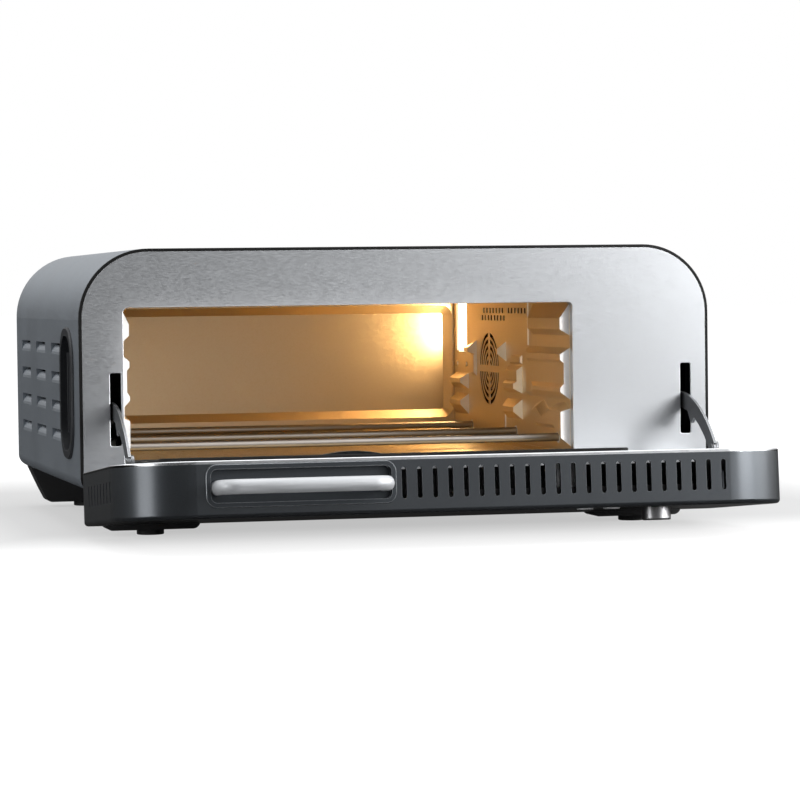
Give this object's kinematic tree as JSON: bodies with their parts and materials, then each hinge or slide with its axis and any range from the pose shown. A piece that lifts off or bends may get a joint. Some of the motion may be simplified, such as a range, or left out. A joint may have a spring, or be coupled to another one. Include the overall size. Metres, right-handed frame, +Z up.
{
  "type": "electric pizza oven",
  "caption": "Low, wide countertop pizza oven with a deep drop-down door on curved arms, louvred sides, recessed grips, a crumb tray and an off-centre cooking chamber.",
  "frame": {"origin": "middle of the whole object's footprint box, with the door open as it rests, on the surface that the foot pads stand on", "axes": "+Z up; +Y from the open door towards the rear cover; +X to the right for a cook who stands in front of the door"},
  "size_m": [0.504, 0.6414, 0.2188],
  "materials": {
    "wrap_paint": "satin",
    "trim_black": "satin",
    "panel_steel": "brushed",
    "rear_paint": "matte",
    "base_steel": "plain zinc",
    "foot_plastic": "matte",
    "pad_rubber": "matte",
    "grip_plastic": "satin",
    "liner_steel": "satin",
    "heater_steel": "satin",
    "ceramic": "matte",
    "tray_steel": "satin",
    "impeller_aluminium": "satin",
    "motor_steel": "satin",
    "lamp_glass": "clear",
    "board": "satin",
    "black_plastic": "satin",
    "mineral_wool": "matt fibre",
    "hinge_steel": "zinc plated",
    "arm_steel": "satin",
    "door_paint": "satin",
    "door_steel": "brushed",
    "seal_black": "matte",
    "inner_glass": "clear",
    "outer_glass": "black glass",
    "plate_paint": "satin",
    "bar_steel": "brushed",
    "knob_steel": "turned",
    "button_plastic": "satin silver",
    "block_zinc": "cast"
  },
  "bodies": {
    "housing": {"outer_wrap": "wrap_paint", "front_trim": "trim_black", "front_panel": "panel_steel", "rear_panel": "rear_paint", "base_pan": "base_steel", "foot_blocks": "foot_plastic", "foot_pads": "pad_rubber", "left_grip": "grip_plastic", "right_grip": "grip_plastic", "cavity_left_wall": "liner_steel", "cavity_right_wall": "liner_steel", "cavity_back": "liner_steel", "cavity_roof": "liner_steel", "cavity_floor": "liner_steel", "heater_bushes": "ceramic", "fan_housing": "base_steel", "fan_motor": "motor_steel", "fan_bracket": "base_steel", "lamp_glass": "lamp_glass", "lamp_housing": "base_steel", "lamp_socket": "ceramic", "lamp_bulb": "lamp_glass", "power_board": "board", "terminal_block": "black_plastic", "cord_gland": "black_plastic", "roof_blanket": "mineral_wool", "thermal_cutout": "motor_steel", "hinge_brackets": "hinge_steel", "arm_guides": "base_steel", "rear_screws": "hinge_steel", "hinge_screws": "hinge_steel", "lower_heater_front": "heater_steel", "upper_heater_front": "heater_steel", "lower_heater_middle": "heater_steel", "upper_heater_middle": "heater_steel", "lower_heater_rear": "heater_steel", "upper_heater_rear": "heater_steel"},
    "door": {"door_shell": "door_paint", "door_inner_panel": "door_steel", "window_seal": "seal_black", "inner_glass": "inner_glass", "door_fascia": "outer_glass", "display_lens": "outer_glass", "control_board": "board", "board_carrier": "black_plastic", "handle_plate": "plate_paint", "handle_bar": "bar_steel", "hinge_blocks": "block_zinc", "hinge_pins": "hinge_steel", "arm_brackets": "arm_steel"},
    "left_arm": {"left_door_arm": "arm_steel"},
    "right_arm": {"right_door_arm": "arm_steel"},
    "tray": {"crumb_tray": "tray_steel"},
    "fan": {"fan_impeller": "impeller_aluminium"},
    "knob": {"control_knob": "knob_steel"},
    "start": {"start_button": "button_plastic"},
    "light": {"light_button": "button_plastic"}
  },
  "joints": [
    {"name": "door_hinge", "type": "hinge", "parent": "housing", "child": "door", "pos_m": [0, -0.10817, 0.0342], "axis": [-1, 0, 0], "range_deg": [0, 84.95]},
    {"name": "left_arm_pivot", "type": "hinge", "parent": "door", "child": "left_arm", "pos_m": [-0.2226, -0.15914, 0.06064], "axis": [-1, 0, 0], "range_deg": [-77, 0.5]},
    {"name": "right_arm_pivot", "type": "hinge", "parent": "door", "child": "right_arm", "pos_m": [0.2311, -0.15914, 0.06064], "axis": [-1, 0, 0], "range_deg": [-77, 0.5]},
    {"name": "tray_slide", "type": "slide", "parent": "housing", "child": "tray", "axis": [0, 0.9961, -0.088], "range_m": [-0.065, 0]},
    {"name": "fan_spin", "type": "hinge", "parent": "housing", "child": "fan", "pos_m": [0.1584, 0.15988, 0.1169], "axis": [1, 0, 0], "continuous": true},
    {"name": "knob_turn", "type": "hinge", "parent": "door", "child": "knob", "pos_m": [0.146, -0.27222, 0.02496], "axis": [0, -0.088, -0.9961], "continuous": true},
    {"name": "start_press", "type": "slide", "parent": "door", "child": "start", "axis": [0, 0.088, 0.9961], "range_m": [0, 0.0012], "stiffness_N_per_m": 800},
    {"name": "light_press", "type": "slide", "parent": "door", "child": "light", "axis": [0, 0.088, 0.9961], "range_m": [0, 0.0012], "stiffness_N_per_m": 800}
  ],
  "couplings": [
    {"joint": "left_arm_pivot", "follows": "door_hinge", "ratio": -0.9},
    {"joint": "right_arm_pivot", "follows": "door_hinge", "ratio": -0.9}
  ]
}
